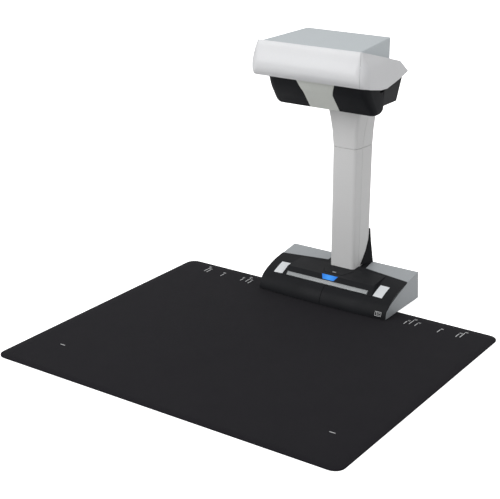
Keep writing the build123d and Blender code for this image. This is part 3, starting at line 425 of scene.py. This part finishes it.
# %% Glass
def clear(slot, colour, roughness):
    material, tree, shader, coords = new_finish(slot)
    grain = use(tree, grain_group, coords, Size=0.0025)
    dust = use(tree, dust_group, coords)
    tree.links.new(blend(tree, grain["Cloud"], colour, shade(colour, 0.96)), shader.inputs["Base Color"])
    tree.links.new(stretched(tree, dust["Smudge"], 0, 1, roughness, roughness + 0.06),
                   shader.inputs["Roughness"])
    shader.inputs["Transmission Weight"].default_value = 1.0
    shader.inputs["IOR"].default_value = 1.49
    bump(tree, shader, grain["Height"], 0.00001)
    finishes[slot] = material


clear("window_glass", (0.78, 0.88, 0.95), 0.03)
clear("lamp_clear", (0.94, 0.96, 0.97), 0.14)


# %% The lit power light
def lit_block(slot="blue_light"):
    material, tree, shader, coords = new_finish(slot)
    low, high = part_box("power_light_guide")
    middle = (low + high) / 2
    centred = add(tree, "Mapping", {"vector_type": "POINT"}, Vector=coords,
                  Location=tuple(-middle)).outputs[0]
    distance = add(tree, "VectorMath", {"operation": "LENGTH"}, i0=centred).outputs["Value"]
    glow = stretched(tree, distance, 0.001, 0.012, 1.0, 0.0)
    grain = use(tree, grain_group, coords, Size=0.0008)
    shade_low = blend(tree, glow, (0.004, 0.06, 0.30), (0.01, 0.10, 0.40))
    hot = blend(tree, glow, (0.006, 0.17, 0.66), (0.05, 0.36, 0.92))
    tree.links.new(blend(tree, grain["Cloud"], shade_low, (0.008, 0.10, 0.40)), shader.inputs["Base Color"])
    tree.links.new(hot, shader.inputs["Emission Color"])
    shader.inputs["Emission Strength"].default_value = 0.66
    tree.links.new(stretched(tree, grain["Height"], 0, 1, 0.22, 0.34), shader.inputs["Roughness"])
    finishes[slot] = material


lit_block()


# %% Matt sheet and print
def matt_sheet(slot, colour, grain_size=0.0003):
    material, tree, shader, coords = new_finish(slot)
    grain = use(tree, grain_group, coords, Size=grain_size)
    dust = use(tree, dust_group, coords)
    base = blend(tree, grain["Cloud"], colour, shade(colour, 0.95))
    tree.links.new(blend(tree, sum_of(tree, dust["Dust"], 0.12, "MULTIPLY"), base, (0.55, 0.53, 0.50)),
                   shader.inputs["Base Color"])
    tree.links.new(stretched(tree, grain["Height"], 0, 1, 0.48, 0.66), shader.inputs["Roughness"])
    bump(tree, shader, grain["Height"], 0.00002)
    finishes[slot] = material


matt_sheet("calibration_white", (0.80, 0.825, 0.85))
matt_sheet("printed_white", (0.72, 0.73, 0.74))


# %% [markdown]
# ### The mat's cloth
# The mat is a black coated cloth that must not shine under the lamps. Its weave is fine, about 0.7 mm from
# thread to thread. The gaps between the raised threads are painted darker and the raised threads lighter, as
# painted shade, with a random fibre tone. A little sheen gives it the soft look of cloth from a low angle.

# %% Mat cloth
def mat_cloth(slot="mat_black"):
    material, tree, shader, coords = new_finish(slot)
    weave = use(tree, weave_group, coords, Pitch=0.0007)
    grain = use(tree, grain_group, coords, Size=0.004)
    dust = use(tree, dust_group, coords)
    # Painted shade: the weave's gaps darker and its raised threads lighter, with a random fibre tone.
    cloth = blend(tree, weave["ThreadToneAndShade"], (0.0062, 0.0058, 0.0078), (0.0150, 0.0138, 0.0180))
    cloth = blend(tree, sum_of(tree, grain["Cloud"], 0.30, "MULTIPLY"), cloth, (0.0125, 0.0120, 0.0145))
    cloth = blend(tree, sum_of(tree, dust["Dust"], 0.025, "MULTIPLY"), cloth, (0.35, 0.34, 0.33))
    tree.links.new(cloth, shader.inputs["Base Color"])
    tree.links.new(stretched(tree, weave["Height"], 0, 1.4, 0.90, 0.72), shader.inputs["Roughness"])
    shader.inputs["Specular IOR Level"].default_value = 0.07
    shader.inputs["Sheen Weight"].default_value = 0.04
    shader.inputs["Sheen Roughness"].default_value = 0.5
    bump(tree, shader, weave["Height"], 0.00012)
    finishes[slot] = material


mat_cloth()
print("finishes", sorted(finishes))

# %% [markdown]
# ## The frame's own pieces
# A CAD node whose shape is already right keeps its mesh and only takes a finish. All nodes get theirs here,
# and the ones that the next cells replace are then hidden.

# %% Finishes on the CAD nodes
for node, piece in nodes.items():
    piece.data.materials.clear()
    piece.data.materials.append(finishes[slot_of[node]])
print("finished nodes", len(nodes))


# %% [markdown]
# ## Visible shells with rounded edges
# A moulding has no knife edges: the tool's corners are rounded, and light catches them. The CAD meshes are
# loose triangles, so a copy is merged, its flat areas are joined back to single faces, and a Bevel modifier
# rounds every edge that turns by more than a set angle.

# %% Round the edges of a shell
def smooth_mesh(mesh, sharp_angle):
    if "custom_normal" in mesh.attributes:
        mesh.attributes.remove(mesh.attributes["custom_normal"])
    mesh.shade_smooth()
    mesh.set_sharp_from_angle(angle=radians(sharp_angle))


def rounded_shell(node, radius, angle=28, segments=3):
    """A merged copy of a CAD node with rounded edges. It stands for the node."""
    mesh = nodes[node].data.copy()
    mesh.name = node + "_skin"
    form = bmesh.new()
    form.from_mesh(mesh)
    bmesh.ops.remove_doubles(form, verts=form.verts, dist=0.00002)
    bmesh.ops.dissolve_limit(form, angle_limit=radians(1.2), use_dissolve_boundaries=False,
                             verts=form.verts, edges=form.edges)
    form.to_mesh(mesh)
    form.free()
    smooth_mesh(mesh, 180)
    skin = bpy.data.objects.new(node + "_skin", mesh)
    bpy.context.collection.objects.link(skin)
    edges = skin.modifiers.new("round_edges", "BEVEL")
    edges.width = radius
    edges.segments = segments
    edges.limit_method = "ANGLE"
    edges.angle_limit = radians(angle)
    edges.harden_normals = True
    edges.use_clamp_overlap = True
    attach(skin, body_of[node])
    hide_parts(node)
    return skin


shell_radii = {
    "hood_top_cover": 1.6, "visor_front_panel": 0.7, "visor_wing_left": 0.7, "visor_wing_right": 0.7,
    "head_rear_deck": 0.8, "underside_housing": 1.2, "scan_unit_shell": 1.0, "scan_unit_band": 0.3,
    "column_front_shell": 1.5, "column_rear_shell": 1.5, "collar_front_shell": 1.2, "collar_rear_shell": 1.2,
    "rear_gusset": 1.0, "base_shell": 1.25, "deck_cover": 0.8, "console_panel": 0.8,
    "scan_bar_button": 0.4, "stop_button": 0.4,
}
for node, radius in shell_radii.items():
    skin = rounded_shell(node, radius * mm)
    print(node, "faces", len(skin.data.polygons))

# %% [markdown]
# ## The background mat
# The mat is one sheet of coated cloth, cut with round corners and with two notches for the scanner's front
# feet. Its outline comes from the CAD box and the base's box, is filled, and is then cut into a grid so that
# the middle of the sheet can swell a fraction of a millimetre, as a sheet does that has been rolled up.

# %% Outline of the mat
mat_low, mat_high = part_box("background_mat")
feet_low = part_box("rubber_feet")[0]
corner = 14 * mm
mat_thickness = mat_high.z - mat_low.z
foot_x, foot_half = 78 * mm, 9.0 * mm     # the front feet's places, and half a notch's width
notch_front = feet_low.y - 1.5 * mm


def round_corner(x, y, start):
    """Seven points round a corner whose centre is at x, y."""
    return [Vector((x + corner * cos(start + pi / 12 * step), y + corner * sin(start + pi / 12 * step), 0))
            for step in range(7)]


outline = round_corner(mat_low.x + corner, mat_low.y + corner, pi)
outline += round_corner(mat_high.x - corner, mat_low.y + corner, -pi / 2)
outline += round_corner(mat_high.x - corner, mat_high.y - corner, 0)
for side in (1, -1):
    near, far = side * foot_x + foot_half, side * foot_x - foot_half
    outline += [Vector((near, mat_high.y, 0)), Vector((near, notch_front, 0)),
                Vector((far, notch_front, 0)), Vector((far, mat_high.y, 0))]
outline += round_corner(mat_low.x + corner, mat_high.y - corner, pi / 2)
print("outline points", len(outline))


# %% Fill it, cut it into a grid and let the middle swell
def swell(place):
    """Height of the sheet's surface: flat along the edges, up to 0.3 mm higher in the middle."""
    inward = min(place.x - mat_low.x, mat_high.x - place.x, place.y - mat_low.y, mat_high.y - place.y)
    share = min(1.0, max(0.0, (inward - 0.075) / 0.06))
    wave = sin(place.x * 31 + 0.6) * sin(place.y * 23 + 1.1) + 0.4 * sin(place.x * 57 - place.y * 49)
    return mat_high.z + 0.3 * mm * share * (0.5 + wave / 3)


grid_step = 12 * mm
sheet_form = bmesh.new()
rim = [sheet_form.verts.new(point) for point in outline]
sheet_form.faces.new(rim)
for axis, low, high in ((0, mat_low.x, mat_high.x), (1, mat_low.y, mat_high.y)):
    count = int((high - low) / grid_step)
    for step in range(1, count):
        place, normal = Vector((0, 0, 0)), Vector((0, 0, 0))
        place[axis], normal[axis] = low + (high - low) * step / count, 1
        everything = sheet_form.verts[:] + sheet_form.edges[:] + sheet_form.faces[:]
        bmesh.ops.bisect_plane(sheet_form, geom=everything, plane_co=place, plane_no=normal)
for vertex in sheet_form.verts:
    vertex.co.z = swell(vertex.co)
bmesh.ops.recalc_face_normals(sheet_form, faces=sheet_form.faces)
if sheet_form.faces[:][0].normal.z < 0:
    bmesh.ops.reverse_faces(sheet_form, faces=sheet_form.faces)
mat_area = sum(face.calc_area() for face in sheet_form.faces)
mat_mesh = bpy.data.meshes.new("mat_sheet")
sheet_form.to_mesh(mat_mesh)
sheet_form.free()
mat_sheet = bpy.data.objects.new("mat_sheet", mat_mesh)
bpy.context.collection.objects.link(mat_sheet)
thick = mat_sheet.modifiers.new("thickness", "SOLIDIFY")
thick.thickness = mat_thickness - 0.05 * mm
thick.offset = -1
soft_edge = mat_sheet.modifiers.new("soft_edge", "BEVEL")
soft_edge.width = 0.5 * mm
soft_edge.segments = 2
soft_edge.limit_method = "ANGLE"
soft_edge.angle_limit = radians(50)
mat_mesh.shade_smooth()
mat_mesh.materials.append(finishes["mat_black"])
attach(mat_sheet, body_of["background_mat"])
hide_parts("background_mat")
print("mat faces", len(mat_mesh.polygons), "area", round(mat_area, 4))

# %% [markdown]
# ## Print on the mat
# Fine white lines on the mat show where the edges of a book may lie. They are screen print, a few hundredths
# of a millimetre thick, so each is a very thin bar on the cloth. Small plain numbers stand behind them.


# %% Lines
def thin_bar(form, middle, size, up=0.06 * mm):
    """A low bar, wider than it is high, added to the mesh that is being built."""
    made = bmesh.ops.create_cube(form, size=1)["verts"]
    bmesh.ops.scale(form, verts=made, vec=(size[0], size[1], up))
    bmesh.ops.translate(form, verts=made, vec=(middle[0], middle[1], mat_high.z + up / 2))


def printed_piece(name, form, node, finish="printed_white"):
    mesh = bpy.data.meshes.new(name)
    form.to_mesh(mesh)
    form.free()
    piece = bpy.data.objects.new(name, mesh)
    bpy.context.collection.objects.link(piece)
    mesh.materials.append(finishes[finish])
    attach(piece, body_of[node])
    return piece


# each line's place across the mat, the gap from its end to the mat's rear edge, and its length, in mm
guide_lines = [(130.5, 22.3, 10), (137, 14.0, 15), (146, 20.8, 9),
               (181, 21.8, 10), (208, 19.8, 11), (213.5, 13.5, 16)]
lines = bmesh.new()
for across_mm, behind_mm, length_mm in guide_lines:
    for side in (-1, 1):
        middle_y = mat_high.y - (behind_mm + length_mm / 2) * mm
        thin_bar(lines, (side * across_mm * mm, middle_y), (1.0 * mm, length_mm * mm))
for side in (-1, 1):
    thin_bar(lines, (side * 207 * mm, mat_low.y + 71.4 * mm), (8 * mm, 1.0 * mm))
mat_lines = printed_piece("mat_lines", lines, "background_mat")
print("lines", 2 * len(guide_lines) + 2)


# %% Numbers
def number_mesh(text, height, place, form):
    """Adds plain figures, turned into faces, to the mesh that is being built."""
    figures = bpy.data.curves.new("figures", "FONT")
    figures.body = text
    figures.size = height
    figures.align_x = "CENTER"
    figures.extrude = 0.03 * mm
    holder = bpy.data.objects.new("figures", figures)
    mesh = bpy.data.meshes.new_from_object(holder)
    mesh.transform(Matrix.Translation(place))
    form.from_mesh(mesh)
    bpy.data.objects.remove(holder)
    bpy.data.curves.remove(figures)
    bpy.data.meshes.remove(mesh)


numbers = bmesh.new()
for side in (-1, 1):
    for order, (across_mm, behind_mm, _) in enumerate(guide_lines):
        number_place = (side * (across_mm + 1.5) * mm, mat_high.y - (behind_mm - 1.5) * mm,
                        mat_high.z + 0.03 * mm)
        number_mesh(str(10 * (order + 1)), 4.4 * mm, number_place, numbers)
mat_numbers = printed_piece("mat_numbers", numbers, "background_mat")
print("number faces", len(mat_numbers.data.polygons))

# %% [markdown]
# ## Marks on the operating panel
# Each key carries a small plain mark, and so does the lip at its right end. A ray from outside finds the
# surface, and the mark is laid on it, turned so that its back meets the surface squarely.


# %% Find a place on the surface, and lay a mark there
def surface_under(node, start, direction):
    """Where a ray meets a node, and the surface's normal there."""
    piece = nodes[node]
    points = [piece.matrix_world @ vertex.co for vertex in piece.data.vertices]
    tree = BVHTree.FromPolygons(points, [polygon.vertices[:] for polygon in piece.data.polygons])
    place, normal, _, _ = tree.ray_cast(Vector(start), Vector(direction))
    assert place, "the ray misses " + node
    return place, normal if normal.dot(Vector(direction)) < 0 else -normal


def laid_on(place, normal, lift=0.03 * mm):
    """A turn and move that takes a flat mark, drawn in X and Y, onto the surface."""
    right = Vector((1, 0, 0))
    upward = normal.cross(right).normalized()
    turn = Matrix((upward.cross(normal), upward, normal)).transposed().to_4x4()
    return Matrix.Translation(place + normal * lift) @ turn


def bars_mesh(form, bars, matrix, up=0.05 * mm):
    """Thin bars given as (x, y, width, height) in millimetres, laid on a surface."""
    for x, y, width, height in bars:
        made = bmesh.ops.create_cube(form, size=1)["verts"]
        bmesh.ops.scale(form, verts=made, vec=(width * mm, height * mm, up))
        bmesh.ops.translate(form, verts=made, vec=(x * mm, y * mm, up / 2))
        bmesh.ops.transform(form, verts=made, matrix=matrix)


def bar_frame(width, height, line):
    """Four bars that make an open rectangle."""
    return [(0, height / 2, width + line, line), (0, -height / 2, width + line, line),
            (-width / 2, 0, line, height), (width / 2, 0, line, height)]


ray_start = 20 * mm     # the rays set out this far above a key
onto_slope = Vector((0, 1, -1)).normalized()

key_low, key_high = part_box("stop_button")
place, normal = surface_under("stop_button", (0, key_low.y + 5.5 * mm, key_high.z + ray_start), (0, 0, -1))
form = bmesh.new()
bars_mesh(form, bar_frame(5.0, 1.8, 0.45) + [(0, 0, 2.4, 0.5)], laid_on(place, normal))
stop_mark = printed_piece("stop_mark", form, "stop_button")
print("stop mark", [round(v * 1000, 1) for v in place])

bar_low, bar_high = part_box("scan_bar_button")
bar_start = (0, (bar_low.y + bar_high.y) / 2 - ray_start, bar_high.z + ray_start)
place, normal = surface_under("scan_bar_button", bar_start, onto_slope)
form = bmesh.new()
bars_mesh(form, bar_frame(6.0, 1.7, 0.6) + [(0, 0, 3.0, 0.6)], laid_on(place, normal))
scan_mark = printed_piece("scan_mark", form, "scan_bar_button", "component_black")
print("scan mark", [round(v * 1000, 1) for v in place])

lip_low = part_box("deck_cover")[0]
place, normal = surface_under("deck_cover", (93 * mm, lip_low.y - 0.03, lip_low.z + 6.5 * mm), (0, 1, 0))
form = bmesh.new()
bars_mesh(form, bar_frame(9.0, 6.0, 0.5) + [(-2.2, 0, 0.5, 5.0), (1.0, 1.4, 4.6, 0.5), (1.0, -1.2, 4.6, 0.5)],
          laid_on(place, normal))
lip_mark = printed_piece("lip_mark", form, "deck_cover")
print("lip mark", [round(v * 1000, 1) for v in place])

# %% [markdown]
# ## Floor
# A plain white sheet that runs far past the camera's view. The camera sees it pure white, as a cut-out
# catalogue picture has it. To everything else it is a pale grey, so it sends less light up at the scanner.

# %% Floor
floor_mesh = bpy.data.meshes.new("floor")
floor_form = bmesh.new()
bmesh.ops.create_grid(floor_form, x_segments=1, y_segments=1, size=6)
bmesh.ops.translate(floor_form, verts=floor_form.verts, vec=(0, 0, -0.0005))
floor_form.to_mesh(floor_mesh)
floor_form.free()
floor = bpy.data.objects.new("floor", floor_mesh)
bpy.context.collection.objects.link(floor)
floor_finish = bpy.data.materials.new("white_floor")
floor_finish.use_nodes = True
floor_shader = floor_finish.node_tree.nodes["Principled BSDF"]
floor_seen = floor_finish.node_tree.nodes.new("ShaderNodeLightPath").outputs["Is Camera Ray"]
floor_finish.node_tree.links.new(floor_seen, floor_shader.inputs["Emission Strength"])
floor_shader.inputs["Base Color"].default_value = (0.80, 0.80, 0.80, 1)
floor_shader.inputs["Roughness"].default_value = 1.0
floor_shader.inputs["Specular IOR Level"].default_value = 0.0
floor_shader.inputs["Emission Color"].default_value = (1, 1, 1, 1)
floor_mesh.materials.append(floor_finish)
floor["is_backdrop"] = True
print("floor", floor.name)

# %% Sizes of the finished scene
low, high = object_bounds()
print("size", [round(v, 4) for v in high - low])
